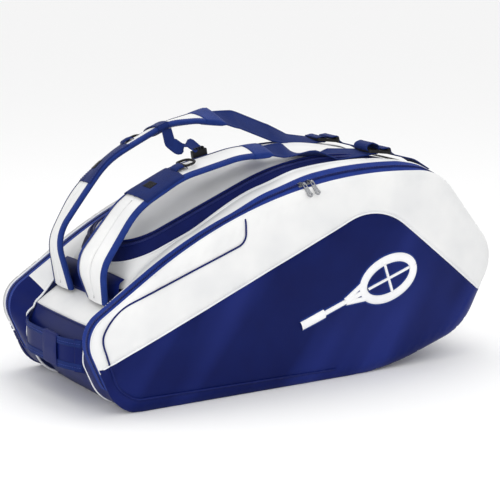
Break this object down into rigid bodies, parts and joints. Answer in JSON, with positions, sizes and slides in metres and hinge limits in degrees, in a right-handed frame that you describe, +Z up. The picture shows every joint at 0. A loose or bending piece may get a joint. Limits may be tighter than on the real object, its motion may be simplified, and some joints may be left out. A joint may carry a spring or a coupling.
{
  "type": "racket bag",
  "caption": "Padded sports bag for rackets: side compartments that zip open round a middle one, arched shoulder straps and a grab handle.",
  "frame": {"origin": "on the floor, under the middle of the bag's length and width", "axes": "+X along the bag from the grab handle towards the racket heads, +Y to the far side compartment, +Z up"},
  "size_m": [0.7377, 0.3436, 0.4166],
  "materials": {
    "white_cover": "grained satin coated fabric",
    "navy_cover": "glossy coated fabric",
    "divider_cloth": "woven lining",
    "zip_tape": "woven tape with coil",
    "webbing": "ribbed webbing",
    "mesh": "spacer mesh",
    "navy_piping": "covered cord",
    "white_piping": "covered cord",
    "white_badge": "smooth raised badge",
    "black_plastic": "moulded",
    "polished_zinc": "polished die casting"
  },
  "bodies": {
    "bag": {"bottom_panel": "navy_cover", "far_anchor_webbing": "webbing", "far_bottom_gusset": "navy_cover", "far_divider": "divider_cloth", "far_inner_zip_tape": "zip_tape", "far_strap_cap": "webbing", "far_strap_lining": "mesh", "far_strap_pad": "white_cover", "far_strap_patch": "webbing", "far_top_gusset": "white_cover", "far_webbing": "webbing", "handle_end_band": "white_cover", "handle_end_panel": "navy_cover", "handle_end_shoulder": "white_cover", "head_end_panel": "navy_cover", "lid_zip_tape": "zip_tape", "middle_lid": "white_cover", "middle_zip_tape": "zip_tape", "near_anchor_webbing": "webbing", "near_bottom_gusset": "navy_cover", "near_divider": "divider_cloth", "near_inner_zip_tape": "zip_tape", "near_strap_cap": "webbing", "near_strap_lining": "mesh", "near_strap_pad": "white_cover", "near_strap_patch": "webbing", "near_top_gusset": "white_cover", "near_webbing": "webbing", "sternum_buckle": "black_plastic", "sternum_loop": "webbing", "sternum_webbing": "webbing", "strap_base_panel": "navy_cover"},
    "near_cover": {"near_outer_zip_tape": "zip_tape", "near_upper_face": "white_cover", "near_lower_face": "navy_cover", "near_panel_piping": "white_piping", "near_edge_piping": "navy_piping", "near_badge": "white_badge"},
    "near_left_slider": {"near_left_slider": "polished_zinc"},
    "near_left_pull": {"near_left_pull": "polished_zinc"},
    "near_right_slider": {"near_right_slider": "polished_zinc"},
    "near_right_pull": {"near_right_pull": "polished_zinc"},
    "near_d_ring": {"near_d_ring": "black_plastic"},
    "near_ladder_lock": {"near_ladder_lock": "black_plastic"},
    "far_cover": {"far_outer_zip_tape": "zip_tape", "far_upper_face": "white_cover", "far_lower_face": "navy_cover", "far_panel_piping": "white_piping", "far_edge_piping": "navy_piping", "far_badge": "white_badge"},
    "far_left_slider": {"far_left_slider": "polished_zinc"},
    "far_left_pull": {"far_left_pull": "polished_zinc"},
    "far_right_slider": {"far_right_slider": "polished_zinc"},
    "far_right_pull": {"far_right_pull": "polished_zinc"},
    "far_d_ring": {"far_d_ring": "black_plastic"},
    "far_ladder_lock": {"far_ladder_lock": "black_plastic"},
    "middle_slider": {"middle_slider": "polished_zinc"},
    "middle_pull": {"middle_pull": "polished_zinc"},
    "handle": {"grab_handle": "webbing", "handle_wrap": "webbing"}
  },
  "joints": [
    {"name": "near_cover_hinge", "type": "hinge", "parent": "bag", "child": "near_cover", "pos_m": [0, -0.164, 0], "axis": [1, 0, 0], "range_deg": [0, 75]},
    {"name": "near_left_slider_run", "type": "hinge", "parent": "near_cover", "child": "near_left_slider", "pos_m": [0.15035, -0.142, -0.43307], "axis": [0, 1, 0], "range_deg": [-21.46, 0]},
    {"name": "near_left_pull_swing", "type": "hinge", "parent": "near_left_slider", "child": "near_left_pull", "pos_m": [0.00387, -0.153, 0.3187], "axis": [-0.9815, 0, -0.1912], "range_deg": [0, 95]},
    {"name": "near_right_slider_run", "type": "hinge", "parent": "near_cover", "child": "near_right_slider", "pos_m": [0.15035, -0.142, -0.43307], "axis": [0, 1, 0], "range_deg": [0, 12.93]},
    {"name": "near_right_pull_swing", "type": "hinge", "parent": "near_right_slider", "child": "near_right_pull", "pos_m": [0.01798, -0.153, 0.32131], "axis": [-0.985, 0, -0.1728], "range_deg": [0, 95]},
    {"name": "near_d_ring_swing", "type": "hinge", "parent": "bag", "child": "near_d_ring", "pos_m": [-0.16146, -0.06, 0.35067], "axis": [0, -1, 0], "range_deg": [0, 140]},
    {"name": "near_ladder_lock_tilt", "type": "hinge", "parent": "bag", "child": "near_ladder_lock", "pos_m": [0.20796, -0.074, 0.34391], "axis": [0, 1, 0], "range_deg": [0, 35]},
    {"name": "far_cover_hinge", "type": "hinge", "parent": "bag", "child": "far_cover", "pos_m": [0, 0.164, 0], "axis": [-1, 0, 0], "range_deg": [0, 75]},
    {"name": "far_left_slider_run", "type": "hinge", "parent": "far_cover", "child": "far_left_slider", "pos_m": [0.15035, 0.142, -0.43307], "axis": [0, 1, 0], "range_deg": [-21.46, 0]},
    {"name": "far_left_pull_swing", "type": "hinge", "parent": "far_left_slider", "child": "far_left_pull", "pos_m": [0.00387, 0.153, 0.3187], "axis": [0.9815, 0, 0.1912], "range_deg": [0, 95]},
    {"name": "far_right_slider_run", "type": "hinge", "parent": "far_cover", "child": "far_right_slider", "pos_m": [0.15035, 0.142, -0.43307], "axis": [0, 1, 0], "range_deg": [0, 12.93]},
    {"name": "far_right_pull_swing", "type": "hinge", "parent": "far_right_slider", "child": "far_right_pull", "pos_m": [0.01798, 0.153, 0.32131], "axis": [0.985, 0, 0.1728], "range_deg": [0, 95]},
    {"name": "far_d_ring_swing", "type": "hinge", "parent": "bag", "child": "far_d_ring", "pos_m": [-0.18717, 0.06, 0.37242], "axis": [0, -1, 0], "range_deg": [0, 140]},
    {"name": "far_ladder_lock_tilt", "type": "hinge", "parent": "bag", "child": "far_ladder_lock", "pos_m": [0.20796, 0.076, 0.34391], "axis": [0, 1, 0], "range_deg": [0, 35]},
    {"name": "middle_slider_run", "type": "slide", "parent": "bag", "child": "middle_slider", "axis": [0, 1, 0], "range_m": [-0.018, 0.018]},
    {"name": "middle_pull_swing", "type": "hinge", "parent": "middle_slider", "child": "middle_pull", "pos_m": [-0.28641, 0, 0.23458], "axis": [0, 1, 0], "range_deg": [0, 60]},
    {"name": "grab_handle_swing", "type": "hinge", "parent": "bag", "child": "handle", "pos_m": [-0.3635, 0, 0.09], "axis": [0, 1, 0], "range_deg": [-10, 30]}
  ]
}
